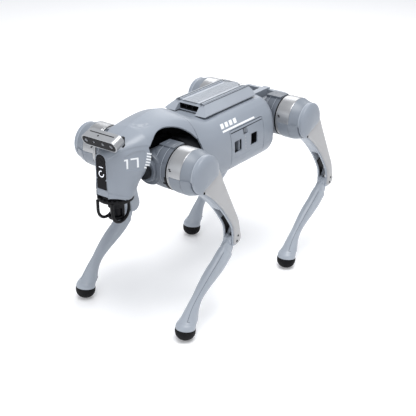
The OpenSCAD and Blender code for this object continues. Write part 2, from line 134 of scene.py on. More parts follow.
def lathe(profile, steps=96, start=0, sweep=360):
    """Turns (radius, y) points about the Y axis. A part turn is closed by its two end faces."""
    whole = sweep == 360
    count = steps if whole else steps + 1
    verts, rings = [], []
    for r, y in profile:
        if r < 1e-6 and whole:
            rings.append([len(verts)])
            verts.append((0, y, 0))
            continue
        ring = []
        for k in range(count):
            a = math.radians(start + sweep * k / steps)
            ring.append(len(verts))
            verts.append((r * math.cos(a), y, r * math.sin(a)))
        rings.append(ring)
    faces = []
    for low, high in zip(rings, rings[1:]):
        for k in range(steps):
            n = (k + 1) % count
            quad = [low[k % len(low)], low[n % len(low)], high[n % len(high)], high[k % len(high)]]
            face = tuple(dict.fromkeys(quad))
            if len(face) > 2:
                faces.append(face)
    if not whole:
        faces.append(tuple(r[0] for r in rings))
        faces.append(tuple(r[-1] for r in reversed(rings)))
    return verts, faces


def outline_normals(points):
    p = np.array(points, float)
    along = np.roll(p, -1, 0) - np.roll(p, 1, 0)
    n = np.stack([along[:, 1], -along[:, 0]], 1)
    n /= np.linalg.norm(n, axis=1, keepdims=True) + 1e-9
    area = np.sum(p[:, 0] * np.roll(p[:, 1], -1) - np.roll(p[:, 0], -1) * p[:, 1])
    return n * (1 if area > 0 else -1)


def rings_solid(rings):
    """Closed solid through rings of equal count."""
    n = len(rings[0])
    verts = [tuple(p) for ring in rings for p in ring]
    faces = [tuple(range(n - 1, -1, -1)), tuple(range(len(verts) - n, len(verts)))]
    for i in range(len(rings) - 1):
        for j in range(n):
            k = (j + 1) % n
            faces.append((i * n + j, i * n + k, (i + 1) * n + k, (i + 1) * n + j))
    return verts, faces


def prism(outline, levels):
    """Outline in X and Z pushed along Y through levels of (inset, y)."""
    p, n = np.array(outline, float), outline_normals(outline)
    rings = []
    for inset, y in levels:
        q = p - n * inset
        rings.append([(a, y, b) for a, b in q])
    return rings_solid(rings)


def rounded(y0, y1, r0, r1, steps=4):
    """Levels for a prism whose two rims are rounded with radii r0 and r1."""
    turn_in = [math.pi / 2 * k / steps for k in range(steps + 1)]
    low = [(r0 * (1 - math.sin(a)), y0 + r0 * (1 - math.cos(a))) for a in turn_in]
    high = [(r1 * (1 - math.cos(a)), y1 - r1 * (1 - math.sin(a))) for a in turn_in]
    return low + high


def domed(outline, centre, profile):
    """Outline in X and Z that shrinks towards its centre through (scale, y) levels."""
    c, p = np.array(centre, float), np.array(outline, float)
    return rings_solid([[(x, y, z) for x, z in c + (p - c) * scale] for scale, y in profile])


def rounded_box(low, high, radius=1.0, segments=3):
    low, high = Vector(low), Vector(high)
    work = bmesh.new()
    bmesh.ops.create_cube(work, size=1)
    for v in work.verts:
        v.co = Vector([(low[i] + high[i]) / 2 + v.co[i] * (high[i] - low[i]) for i in range(3)])
    bmesh.ops.bevel(work, geom=list(work.edges), offset=radius, segments=segments, profile=0.5,
                    affect="EDGES")
    work.verts.index_update()
    shape = [tuple(v.co) for v in work.verts], [tuple(v.index for v in f.verts) for f in work.faces]
    work.free()
    return shape


def tube(path, radius, sides=16, closed=False):
    """Round bar along a path of points."""
    p = [Vector(q) for q in path]
    count = len(p)
    rings = []
    side = None
    for i, q in enumerate(p):
        ahead = p[(i + 1) % count] if closed or i < count - 1 else q
        behind = p[i - 1] if closed or i > 0 else q
        along = (ahead - behind).normalized()
        side = (along.orthogonal() if side is None else side - along * side.dot(along)).normalized()
        up = along.cross(side)
        rings.append([tuple(q + (side * math.cos(a) + up * math.sin(a)) * radius)
                      for a in [2 * math.pi * k / sides for k in range(sides)]])
    verts, faces = rings_solid(rings)
    if closed:
        faces = faces[2:]
        last = (count - 1) * sides
        faces += [(last + j, last + (j + 1) % sides, (j + 1) % sides, j) for j in range(sides)]
    return verts, faces


def arc(cx, cz, r, a0, a1, n):
    return [(cx + r * math.cos(math.radians(a0 + (a1 - a0) * k / n)),
             cz + r * math.sin(math.radians(a0 + (a1 - a0) * k / n))) for k in range(n + 1)]


def rounded_rect(x0, x1, z0, z1, r, n=6):
    return (arc(x1 - r, z0 + r, r, -90, 0, n) + arc(x1 - r, z1 - r, r, 0, 90, n)
            + arc(x0 + r, z1 - r, r, 90, 180, n) + arc(x0 + r, z0 + r, r, 180, 270, n))


def spline(a, b, c, d, t):
    return b + 0.5 * t * (c - a + t * (2 * a - 5 * b + 4 * c - d + t * (3 * (b - c) + d - a)))


def smooth_line(points, steps):
    p = np.array(points, float)
    out = [spline(p[max(i - 1, 0)], p[i], p[i + 1], p[min(i + 2, len(p) - 1)], k / steps)
           for i in range(len(p) - 1) for k in range(steps)]
    return [tuple(q) for q in out] + [tuple(p[-1])]


def step(x):
    t = np.clip(x, 0, 1)
    return t * t * (3 - 2 * t)


def polygon_distance(x, z, outline):
    """Distance from an outline in the XZ plane, negative inside it."""
    p = np.array(outline, float)
    q = np.roll(p, -1, 0)
    best = np.full(x.shape, 1e9)
    inside = np.zeros(x.shape, bool)
    for (ax, az), (bx, bz) in zip(p, q):
        ex, ez = bx - ax, bz - az
        t = np.clip(((x - ax) * ex + (z - az) * ez) / (ex * ex + ez * ez + 1e-9), 0, 1)
        best = np.minimum(best, np.hypot(x - ax - t * ex, z - az - t * ez))
        if az != bz:
            crosses = ((az > z) != (bz > z)) & (x < ax + (z - az) * ex / (bz - az))
            inside ^= crosses
    return np.where(inside, -best, best)


# ---- Materials ----


def links(tree, *pairs):
    for a, b in pairs:
        tree.links.new(a, b)


def finish_material(slot, colour, rough, metal=0.0, mottle=0.05, grain=1400, bump=0.05, coat=0.0,
                    speck=0.0, brushed=(1, 1, 1), scuff=0.0, light=0.0, gleam=0.5):
    """Procedural finish: colour mottle, worn roughness, fine bump, with optional specks and scuffs."""
    material = bpy.data.materials.new(slot)
    material.use_nodes = True
    tree = material.node_tree
    shader = tree.nodes["Principled BSDF"]
    shader.inputs["Metallic"].default_value = metal
    shader.inputs["Specular IOR Level"].default_value = gleam
    shader.inputs["Coat Weight"].default_value = coat
    shader.inputs["Coat Roughness"].default_value = 0.2
    place = tree.nodes.new("ShaderNodeTexCoord").outputs["Object"]
    stretch = tree.nodes.new("ShaderNodeMapping")
    stretch.inputs["Scale"].default_value = brushed
    links(tree, (place, stretch.inputs["Vector"]))

    def noise(scale, detail, vector):
        node = tree.nodes.new("ShaderNodeTexNoise")
        node.inputs["Scale"].default_value = scale
        node.inputs["Detail"].default_value = detail
        links(tree, (vector, node.inputs["Vector"]))
        return node.outputs["Fac"]

    def ramp(source, low, high, a, b):
        node = tree.nodes.new("ShaderNodeMapRange")
        for key, value in (("From Min", low), ("From Max", high), ("To Min", a), ("To Max", b)):
            node.inputs[key].default_value = value
        links(tree, (source, node.inputs["Value"]))
        return node.outputs["Result"]

    def mix(factor, a, b):
        node = tree.nodes.new("ShaderNodeMix")
        node.data_type = "RGBA"
        for key, value in ((0, factor), (6, a), (7, b)):
            if isinstance(value, (tuple, float)):
                node.inputs[key].default_value = value
            else:
                links(tree, (value, node.inputs[key]))
        return node.outputs[2]

    def shade(scale, lift=0.0):
        return tuple(min(1.0, c * scale + lift) for c in colour) + (1.0,)

    soft = noise(9, 4, place)
    fine = noise(grain, 2, stretch.outputs["Vector"])
    base = mix(ramp(soft, 0.3, 0.7, 0, 1), shade(1 - mottle), shade(1 + mottle))
    if speck:
        base = mix(ramp(noise(grain * 0.6, 1, place), 0.62, 0.74, 0, speck), base, shade(1.6, 0.05))
    if scuff:
        base = mix(ramp(noise(34, 6, place), 0.6, 0.78, 0, scuff), base, shade(1.5, 0.06))
    links(tree, (base, shader.inputs["Base Color"]))
    smooth, worn = ((rough + change,) * 3 + (1.0,) for change in (-0.05, 0.07))
    wear = mix(ramp(noise(42, 5, place), 0.35, 0.75, 0, 1), smooth, worn)
    links(tree, (wear, shader.inputs["Roughness"]))
    bumps = tree.nodes.new("ShaderNodeBump")
    bumps.inputs["Strength"].default_value = bump
    bumps.inputs["Distance"].default_value = 0.0004
    links(tree, (fine, bumps.inputs["Height"]), (bumps.outputs["Normal"], shader.inputs["Normal"]))
    if light:
        shader.inputs["Emission Color"].default_value = tuple(colour) + (1.0,)
        shader.inputs["Emission Strength"].default_value = light
    return material


FINISH_SPECS = {
    "shell_paint": dict(colour=(0.262, 0.292, 0.338), rough=0.42, coat=0.12, mottle=0.025, speck=0.04),
    "shank_blue": dict(colour=(0.355, 0.39, 0.44), rough=0.40, coat=0.12, mottle=0.04, scuff=0.1),
    "housing_blue": dict(colour=(0.10, 0.115, 0.14), rough=0.40, coat=0.08, speck=0.05),
    "thigh_grey": dict(colour=(0.20, 0.225, 0.262), rough=0.42, coat=0.08, speck=0.04),
    "cover_grey": dict(colour=(0.43, 0.43, 0.435), rough=0.45, coat=0.05, mottle=0.025, speck=0.05),
    "ring_silver": dict(colour=(0.44, 0.445, 0.455), rough=0.34, metal=0.85, bump=0.15, grain=260,
                        brushed=(0.15, 6, 0.15)),
    "deck_metal": dict(colour=(0.335, 0.365, 0.41), rough=0.38, metal=0.05, mottle=0.06, bump=0.12,
                       grain=500, brushed=(0.05, 3, 3)),
    "camera_silver": dict(colour=(0.40, 0.41, 0.425), rough=0.33, metal=0.6, mottle=0.04, bump=0.08),
    "frame_dark": dict(colour=(0.012, 0.013, 0.016), rough=0.5, gleam=0.12, mottle=0.2, bump=0.15,
                       scuff=0.15),
    "black_plastic": dict(colour=(0.010, 0.010, 0.012), rough=0.5, gleam=0.12, mottle=0.2, bump=0.2,
                          speck=0.1),
    "guard_black": dict(colour=(0.010, 0.010, 0.011), rough=0.42, gleam=0.12, mottle=0.2, bump=0.2,
                        scuff=0.1),
    "gloss_black": dict(colour=(0.005, 0.005, 0.007), rough=0.22, gleam=0.1, mottle=0.2, bump=0.01),
    "pupil_blue": dict(colour=(0.012, 0.018, 0.035), rough=0.08, coat=1.0, mottle=0.3, bump=0.0),
    "light_white": dict(colour=(0.85, 0.88, 0.95), rough=0.35, mottle=0.02, light=0.5),
    "mark_white": dict(colour=(0.86, 0.88, 0.90), rough=0.5, mottle=0.03, speck=0.05),
    "screw_black": dict(colour=(0.012, 0.012, 0.014), rough=0.35, metal=0.6, gleam=0.12, mottle=0.2,
                        bump=0.1),
    "board_green": dict(colour=(0.01, 0.08, 0.03), rough=0.4, mottle=0.2, speck=0.4),
    "button_grey": dict(colour=(0.13, 0.145, 0.17), rough=0.4, speck=0.1),
    "steel": dict(colour=(0.045, 0.048, 0.052), rough=0.36, metal=0.8, mottle=0.15, bump=0.15, scuff=0.25),
    "foot_rubber": dict(colour=(0.008, 0.008, 0.009), rough=0.62, gleam=0.12, mottle=0.25, bump=0.4,
                        grain=700, scuff=0.12),
}
FINISH = {slot: finish_material(slot, **spec) for slot, spec in FINISH_SPECS.items()}


def mark(name, shape, place, body, material="mark_white", slot="light_white"):
    """Piece whose finish has no record slot of its own, so that it goes under the nearest one."""
    obj = piece(name, shape, place, body, slot)
    obj.data.materials.clear()
    obj.data.materials.append(FINISH[material])


def softened(node, width=0.5, segments=2):
    """CAD node shown through a copy of its mesh with rounded edges."""
    source = frame["nodes"][node]
    mesh = source.data.copy()
    mesh.name = node + "_soft"
    work = bmesh.new()
    work.from_mesh(mesh)
    bmesh.ops.remove_doubles(work, verts=work.verts, dist=1e-6)
    bmesh.ops.dissolve_limit(work, angle_limit=math.radians(2), verts=work.verts, edges=work.edges)
    for edge in work.edges:
        edge.smooth = True
    work.to_mesh(mesh)
    work.free()
    if "custom_normal" in mesh.attributes:
        mesh.attributes.remove(mesh.attributes["custom_normal"])
    mesh.polygons.foreach_set("use_smooth", [True] * len(mesh.polygons))
    obj = bpy.data.objects.new(node + "_soft", mesh)
    bpy.context.scene.collection.objects.link(obj)
    bevel = obj.modifiers.new("edges", "BEVEL")
    bevel.width = width * MM
    bevel.segments = segments
    bevel.limit_method = "ANGLE"
    bevel.angle_limit = math.radians(35)
    bevel.harden_normals = False
    normals = obj.modifiers.new("normals", "WEIGHTED_NORMAL")
    normals.keep_sharp = True
    mesh.materials.clear()
    mesh.materials.append(FINISH[SLOT_OF[node]])
    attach(obj, BODY_OF[node])
    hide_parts(node)


SLOT_OF = {s["node"]: s["material_slot"] for s in frame["record"]["subparts"]}
BODY_OF = {n: b for b, nodes in frame["record"]["behaviour"]["bodies"].items() for n in nodes}

# ---- Trunk skin ----

BODY_HALF = [0, 277, 58, 278, 82, 288, 94, 312, 94.5, 353, 84, 386, 58, 408, 0, 412]
REAR_HALF = [v * 0.97 if i % 2 == 0 else 345 + (v - 345) * 0.96 for i, v in enumerate(BODY_HALF)]
# A place along X, then the eight points of the half section there, as Y and Z in turn.
TRUNK_ROWS = np.array([
    [REAR_X] + REAR_HALF,
    [REAR_X + 9] + BODY_HALF,
    [0] + BODY_HALF,
    [65] + BODY_HALF,
    [118, 0, 298, 58, 300, 80, 309, 92, 330, 92, 356, 81, 392, 55, 424, 0, 438],
    [150, 0, 330, 50, 332, 70, 338, 86, 352, 84, 372, 72, 406, 48, 432, 0, 449],
    [195, 0, 350, 40, 352, 55, 354, 70, 360, 70, 380, 62, 410, 44, 432, 0, 448],
    [240, 0, 336, 22, 338, 44, 350, 61, 366, 62, 392, 52, 416, 36, 430, 0, 438],
    [262, 0, 306, 30, 307, 38, 330, 50, 362, 51, 392, 44, 413, 30, 424, 0, 430],
    [284, 0, 303, 36, 304, 37.5, 330, 37.5, 362, 38, 392, 34, 406, 24, 416, 0, 421],
    [308, 0, 303, 26, 304, 26, 330, 22, 362, 22, 388, 20, 402, 14, 410, 0, 413],
    [322, 0, 306, 14, 307, 16, 330, 14, 362, 14, 388, 13, 399, 9, 405, 0, 407],
], float)


def half_section(x, v):
    """Y and Z of the half section at x, at places v from 0 at the belly to 7 at the back."""
    rows = TRUNK_ROWS
    i = int(np.clip(np.searchsorted(rows[:, 0], x) - 1, 0, len(rows) - 2))
    t = (x - rows[i, 0]) / (rows[i + 1, 0] - rows[i, 0])
    last = len(rows) - 1
    h = spline(rows[max(i - 1, 0)], rows[i], rows[i + 1], rows[min(i + 2, last)], t)
    h = h[1:].reshape(8, 2)
    k = np.minimum(v.astype(int), 6)
    return spline(h[np.maximum(k - 1, 0)], h[k], h[k + 1], h[np.minimum(k + 2, 7)], (v - k)[:, None])


def flank(x, z, lift=0.0):
    """Point of the left flank at x and z, lifted off the surface."""
    v = np.linspace(2, 7, 200)
    section = half_section(x, v)
    y = np.interp(z, section[:, 1], section[:, 0])
    slope = np.interp(z + 1, section[:, 1], section[:, 0]) - y
    across = half_section(x + 1, v)
    lean = np.interp(z, across[:, 1], across[:, 0]) - y
    n = Vector((-lean, 1, -slope)).normalized()
    return Vector((x, y, z)) + n * lift


def skin_grid(x0, x1, spacing, around):
    """Rings of the trunk's surface from x0 to x1, with outward normals."""
    count = max(2, int(round((x1 - x0) / spacing)))
    xs = np.linspace(x0, x1, count + 1)
    v = np.linspace(0, 7, around)
    rings = []
    for x in xs:
        s = half_section(x, v)
        left = np.column_stack([np.full(around, x), s])
        right = left[1:-1][::-1] * [1, -1, 1]
        rings.append(np.vstack([left, right]))
    p = np.array(rings)
    du = np.gradient(p, axis=0)
    dv = np.roll(p, -1, 1) - np.roll(p, 1, 1)
    n = np.cross(du, dv)
    n /= np.linalg.norm(n, axis=2, keepdims=True) + 1e-9
    middle = p.mean(1, keepdims=True)
    if ((p - middle) * n).sum() < 0:
        n = -n
    return p, n


CREASE = [(322, 395), (303, 403.5), (285, 410), (267, 413), (248, 412), (226, 406)]
CHEEK_PANEL = [(291, 396), (274, 403.5), (256, 404.5), (251, 401), (256, 366), (261, 364), (287, 366)]


def detail(p):
    """Height of the moulded details above the plain skin."""
    x, y, z = p[..., 0], p[..., 1], p[..., 2]
    line = np.interp(x, [c[0] for c in reversed(CREASE)], [c[1] for c in reversed(CREASE)])
    below = step((line - z) / 3.0) * step((z - line + 60) / 50) * step((x - 226) / 14) * (z > 330)
    panel = polygon_distance(x, np.where(np.abs(y) > 8, z, 1e4), CHEEK_PANEL)
    recess = step(-panel / 2.2)
    around = np.hypot(x - 207, y)
    angle = np.degrees(np.arctan2(y, x - 207))
    dent = np.exp(-((around - 26) / 3.4) ** 2) * step((angle - 2) / 18) * step((96 - angle) / 22) * (z > 425)
    groove_z = 318.6 + 0.42 * (x - 303)
    groove = np.exp(-((z - groove_z) / 1.1) ** 2) * (x > 262)
    lip = step((groove_z - z) / 1.5) * (x > 262)
    skirt = step((317.5 - z) / 1.6) * step((z - 296) / 14) * (x < 112)
    shoulder = step((z - 398) / 3) * step((-55 - x) / 25) * step((408 - z) / 5)
    return -1.3 * below - 1.5 * recess - 2.8 * dent - 1.3 * groove - 0.25 * lip + 0.7 * skirt - 0.5 * shoulder


def clip(points, normals, faces, field):
    """Keeps the part of a mesh where the field is positive and cuts faces exactly at its edge."""
    value = field(points)
    keep = []
    new_points, new_normals, cut = [], [], {}

    def crossing(a, b):
        key = (min(a, b), max(a, b))
        if key not in cut:
            t = value[a] / (value[a] - value[b])
            cut[key] = len(points) + len(new_points)
            new_points.append(points[a] + (points[b] - points[a]) * t)
            new_normals.append(normals[a] + (normals[b] - normals[a]) * t)
        return cut[key]

    positive = value > 0
    for face in faces:
        flags = positive[list(face)]
        if flags.all():
            keep.append(tuple(face))
        elif flags.any():
            out = []
            for i, a in enumerate(face):
                b = face[(i + 1) % len(face)]
                if positive[a]:
                    out.append(a)
                if positive[a] != positive[b]:
                    out.append(crossing(a, b))
            if len(out) > 2:
                keep.append(tuple(out))
    if new_points:
        points = np.vstack([points, new_points])
        normals = np.vstack([normals, new_normals])
    used = sorted({i for f in keep for i in f})
    index = {a: b for b, a in enumerate(used)}
    edge = {index[c] for c in cut.values() if c in index}
    return points[used], normals[used], [tuple(index[i] for i in f) for f in keep], edge


def with_lip(points, normals, faces, edge, field, radius, depth):
    """Rolls the cut edges of a skin inwards: a rounded rim, then a wall of that depth."""
    count = {}
    for f in faces:
        for i, a in enumerate(f):
            b = f[(i + 1) % len(f)]
            count[(a, b)] = count.get((a, b), 0) + 1
    rim = [(a, b) for a, b in count if (b, a) not in count and a in edge and b in edge]
    if not rim:
        return points, faces
    ids = sorted({i for pair in rim for i in pair})
    p = points[ids]
    n = normals[ids]
    n = n / (np.linalg.norm(n, axis=1, keepdims=True) + 1e-9)
    grad = np.stack([field(p + d) - field(p - d) for d in np.eye(3) * 0.4], 1)
    inward = -(grad - n * (grad * n).sum(1, keepdims=True))
    inward /= np.linalg.norm(inward, axis=1, keepdims=True) + 1e-9
    layers = []
    steps = 4
    for k in range(1, steps + 1):
        a = math.pi / 2 * k / steps
        layers.append(p + inward * radius * math.sin(a) - n * radius * (1 - math.cos(a)))
    layers.append(p + inward * radius - n * depth)
    order = {v: i for i, v in enumerate(ids)}
    verts = [points]
    faces = list(faces)
    start = len(points)
    previous = {v: v for v in ids}
    for layer in layers:
        verts.append(layer)
        current = {v: start + order[v] for v in ids}
        for a, b in rim:
            faces.append((previous[b], previous[a], current[a], current[b]))
        start += len(ids)
        previous = current
    return np.vstack(verts), faces


def skin(x0, x1, field, spacing, around, lip, inset=0.0, flip=False):
    """Part of the trunk's skin where the field is positive, with its edges rolled inwards."""
    p, n = skin_grid(x0, x1, spacing, around)
    p = p + n * (detail(p)[..., None] - inset)
    rows, cols = p.shape[:2]
    faces = []
    for i in range(rows - 1):
        for j in range(cols):
            k = (j + 1) % cols
            faces.append((i * cols + j, i * cols + k, (i + 1) * cols + k, (i + 1) * cols + j))
    points, normals = p.reshape(-1, 3), n.reshape(-1, 3)
    radius, depth = lip
    points, normals, faces, edge = clip(points, normals, faces, lambda q: field(q) - radius)
    sample = faces[:2000]
    a, b, c = (points[list(i)] for i in zip(*[f[:3] for f in sample]))
    if (np.cross(b - a, c - a) * normals[[f[0] for f in sample]]).sum() < 0:
        faces = [tuple(reversed(f)) for f in faces]
    if depth:
        points, faces = with_lip(points, normals, faces, edge, field, radius, depth)
    if flip:
        faces = [tuple(reversed(f)) for f in faces]
    return points.tolist(), faces


ARCH_EDGE = [(243, 382), (240, 392), (234, 400), (225, 408.5), (215, 415.8), (204, 422), (191, 426.3),
             (178, 428), (168, 427), (156, 423.2), (146, 417.8), (133, 407.7), (123, 395.6), (117, 384.7),
             (113.5, 371)]
ARCH = [(243, 240)] + smooth_line(ARCH_EDGE, 4) + [(112, 350), (112, 240)]
DOOR = (-101.5, 19.5, 279.5, 378.5)
LATCH_POCKETS = [(-17.2, 9.2, 327.4, 353.6), (-76.2, -49.8, 327.4, 353.6)]
NOTCH = (-42, -26, 359.5, 374)
# Room of the front hip: a ball cut off at two X places, and the drum rolled fully outwards.
BALL_R, BALL_REAR, BALL_FRONT = 69.5, -52, 49
DRUM_R, DRUM_NEAR, DRUM_FAR = 48.6, 30, 90
ROLL_OUT = math.radians(48)


def arch_field(q):
    """Distance outside the room of the front hip: the arch's outline, the ball and the rolled drum."""
    dx, dy, dz = q[:, 0] - HIP_X, np.abs(q[:, 1]) - ROLL_Y, q[:, 2] - HIP_Z
    far = np.sqrt(dx ** 2 + dy ** 2 + dz ** 2)
    ball = np.maximum.reduce([far - BALL_R, BALL_REAR - dx, dx - BALL_FRONT])
    along = dy * math.cos(ROLL_OUT) + dz * math.sin(ROLL_OUT)
    across = dz * math.cos(ROLL_OUT) - dy * math.sin(ROLL_OUT)
    rolled = np.maximum.reduce([np.hypot(dx, across) - DRUM_R, DRUM_NEAR - along, along - DRUM_FAR])
    return np.minimum.reduce([polygon_distance(q[:, 0], q[:, 2], ARCH), ball, rolled])


def from_rect(q, *rect):
    """Distance from a rounded rectangle in the XZ plane."""
    return polygon_distance(q[:, 0], q[:, 2], rounded_rect(*rect))


def on_left(q, distance):
    return np.where(q[:, 1] > 40, distance, 1e3)


def head_field(q):
    chin = q[:, 2] - 307.4 - 0.42 * np.minimum(q[:, 0] - 298, 10) - 0.1 * np.maximum(q[:, 0] - 308, 0)
    face = np.where(q[:, 0] > NOSE_X - 9, polygon_distance(q[:, 1], q[:, 2], PANEL_EDGE), 1e3)
    ends = np.minimum(q[:, 0] - SEAM_X - 0.4, NOSE_X + 5 - q[:, 0])
    return np.minimum.reduce([arch_field(q), ends, np.where(q[:, 0] > 250, chin, 1e3), face])


def body_field(q):
    door = on_left(q, from_rect(q, DOOR[0] - 1, DOOR[1] + 1, DOOR[2] - 1, DOOR[3] + 1, 5))
    ends = np.minimum(q[:, 0] - REAR_X, SEAM_X - q[:, 0])
    return np.minimum.reduce([arch_field(q), door, ends])


def door_field(q):
    fields = [-from_rect(q, *DOOR, 4.5), from_rect(q, *NOTCH, 2)]
    fields += [from_rect(q, *pocket, 2.5) for pocket in LATCH_POCKETS]
    return np.minimum.reduce([on_left(q, f) for f in fields] + [np.where(q[:, 1] > 60, 1e3, -1.0)])


# Outline of the upright face panel, as Y and Z.
PANEL_HALF, PANEL_TOP, PANEL_LOW = 13, 403.8, HIP_Z - 26
PANEL_EDGE = [(-PANEL_HALF, PANEL_LOW), (PANEL_HALF, PANEL_LOW)]
PANEL_EDGE += arc(0, PANEL_TOP - PANEL_HALF, PANEL_HALF, 0, 180, 24)


def make_shells():
    head = skin(SEAM_X - 1, NOSE_X, head_field, 1.6, 170, lip=(1.4, 3.4))
    piece("head_skin", head, TRUNK, "trunk", "shell_paint", closed=False, sharp=50, nodes=["head_shell"])
    edge = [(y, z) for y, z in half_section(NOSE_X, np.linspace(0, 7, 60)) if z > 313]
    edge = [(-y, z) for y, z in reversed(edge)] + edge[:-1]
    cap = facing(prism(edge[::-1], [(0, -6), (0, -1.5), (0.5, -0.5), (1.4, 0)]), NOSE_X - 1.2)
    piece("head_front", cap, TRUNK, "trunk", "shell_paint")

    def inside_head(q):
        return np.minimum(head_field(q) - 2.2, NOSE_X - 6 - q[:, 0])

    lining = skin(SEAM_X - 1, NOSE_X - 2, inside_head, 4, 80, (0, 0), inset=4.6, flip=True)
    piece("head_lining", lining, TRUNK, "trunk", "black_plastic", closed=False)
    body = skin(REAR_X, SEAM_X + 1, body_field, 1.8, 150, lip=(0.6, 4))
    piece("body_skin", body, TRUNK, "trunk", "shell_paint", closed=False, sharp=50, nodes=["body_shell"])
    lining = skin(REAR_X + 1, SEAM_X, lambda q: body_field(q) - 2, 4, 80, (0, 0), inset=4, flip=True)
    piece("body_lining", lining, TRUNK, "trunk", "black_plastic", closed=False)


def tray(x0, x1, z0, z1, r, outer, floor):
    """Open pocket behind a hole in the door: a wall and a floor, seen from the front."""
    edge = rounded_rect(x0, x1, z0, z1, r)
    inner = [(a, outer, b) for a, b in edge]
    n = len(edge)
    verts = inner + [(a, floor, b) for a, b in edge]
    faces = [(i, (i + 1) % n, n + (i + 1) % n, n + i) for i in range(n)] + [tuple(range(n, 2 * n))]
    return verts, faces


def make_battery():
    door = skin(DOOR[0] - 4, DOOR[1] + 4, door_field, 1.2, 240, lip=(0.5, 3))
    piece("door_skin", door, TRUNK, "battery", "shell_paint", closed=False, sharp=50, nodes=["battery_pack"])
    low, high = (v / MM - Vector((MID_X, 0, 0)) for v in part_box("battery_pack"))
    block = rounded_box((low.x + 21, low.y, low.z + 12), (high.x - 6.5, 76.5, 357), 3)
    ribs = [rounded_box((x, low.y - 0.1, low.z + 26), (x + 3, 60, 357.4), 0.6)
            for x in range(-70, 10, 12)]
    piece("battery_case", join(block, *ribs), TRUNK, "battery", "black_plastic")
    frame_bars = [rounded_box((-100, 70, z), (18, 90.5, z + 2.4), 0.8) for z in (301, 372)]
    frame_bars += [rounded_box((x, 70, 301), (x + 2.4, 90.5, 372), 0.8) for x in (-99, 15)]
    piece("battery_frame", join(*frame_bars), TRUNK, "battery", "frame_dark")
    pockets = [tray(*r, 2.5, 92.8, 78.5) for r in LATCH_POCKETS]
    piece("latch_pockets", join(*pockets), TRUNK, "battery", "black_plastic", closed=False)
    piece("power_notch", tray(*NOTCH, 2, 90.5, 84), TRUNK, "battery", "thigh_grey", closed=False)
    slope = [(-42, 90.6, 374), (-42, 90.6, 359.5), (-36, 86.2, 359.5), (-36, 86.2, 374)]
    piece("power_notch_slope", (slope, [(0, 1, 2, 3)]), TRUNK, "battery", "shell_paint", closed=False)
    dot = lathe([(0, -0.2), (1.3, -0.2), (1.3, 0.15), (0.9, 0.4), (0, 0.45)], 24)
    dots = [moved(dot, Matrix.Translation(flank(-31.5, 326 + 7.0 * k))) for k in range(5)]
    mark("charge_dots", join(*dots), TRUNK, "battery", "cover_grey")
    for node in ("front_latch", "rear_latch", "power_button"):
        softened(node, 0.5)


def patch(corners, cells=(8, 4)):
    """Thin printed patch between four flank places given as X and Z."""
    a, b, c, d = (Vector((u, w, 0)) for u, w in corners)
    n, m = cells
    verts = []
    for off in (0.25, -0.15):
        for i in range(n + 1):
            for j in range(m + 1):
                q = a.lerp(b, i / n).lerp(d.lerp(c, i / n), j / m)
                verts.append(tuple(flank_detail(q.x, q.y, off)))
    size = (n + 1) * (m + 1)

    def at(i, j, k=0):
        return k * size + i * (m + 1) + j

    places = [(i, j) for i in range(n) for j in range(m)]
    faces = [(at(i, j), at(i + 1, j), at(i + 1, j + 1), at(i, j + 1)) for i, j in places]
    faces += [(at(i, j, 1), at(i, j + 1, 1), at(i + 1, j + 1, 1), at(i + 1, j, 1)) for i, j in places]
    rim = [(i, 0) for i in range(n)] + [(n, j) for j in range(m)]
    rim += [(i, m) for i in range(n, 0, -1)] + [(0, j) for j in range(m, 0, -1)]
    for k, (i, j) in enumerate(rim):
        u, w = rim[(k + 1) % len(rim)]
        faces.append((at(i, j), at(u, w), at(u, w, 1), at(i, j, 1)))
    return verts, faces


def flank_detail(x, z, lift):
    """Point of the left flank above its moulded details."""
    base = flank(x, z)
    height = float(detail(np.array([[base.x, base.y, base.z]]))[0])
    return flank(x, z, height + lift)


def stroke(x, z, w, h):
    return [(x, z), (x - w, z), (x - w, z + h), (x, z + h)]


def make_marks():
    """Plain printed marks: a two-digit number, slanted bars and a stripe with blocks."""
    one = [stroke(287.5, 370, 3.2, 20), stroke(291, 386.8, 4.2, 3.2)]
    seven = [stroke(280, 387.4, 14, 3.2), stroke(269.2, 370, 3.2, 18)]
    bar = [(256.6, 367), (248.4, 363.6), (247.8, 366.6), (256.0, 369.8)]
    bars = [[(x - 1.3 * k, z + 5.6 * k) for x, z in bar] for k in range(6)]
    stripe = [[(40, 381.6), (-76, 381.6), (-76, 385.2), (40, 385.2)]]
    block = [(40, 388.5), (30, 388.5), (27, 397), (37, 397)]
    blocks = [[(x - 15 * k, z) for x, z in block] for k in range(4)]
    for side, sign in (("left", 1), ("right", -1)):
        place = TRUNK @ Matrix.Diagonal((1, sign, 1, 1))
        number = [[(278 + sign * (x - 278), z) for x, z in s] for s in one + seven]
        mark("number_" + side, join(*[patch(s) for s in number]), place, "trunk")
        mark("bars_" + side, join(*[patch(s, cells=(4, 2)) for s in bars]), place, "trunk")
        mark("stripe_" + side, join(*[patch(s) for s in stripe + blocks]), place, "trunk")


# ---- Head ----

def facing(shape, x):
    """Turns a shape made along Y into one that faces forwards, with its Y zero at that X."""
    return [(x + v[1], v[0], v[2]) for v in shape[0]], shape[1]


def disc(y, z, x, profile, steps=48):
    """Lathed disc that faces forwards at that place."""
    shape = lathe(profile, steps)
    return [(x + v[1], y + v[0], z + v[2]) for v in shape[0]], shape[1]


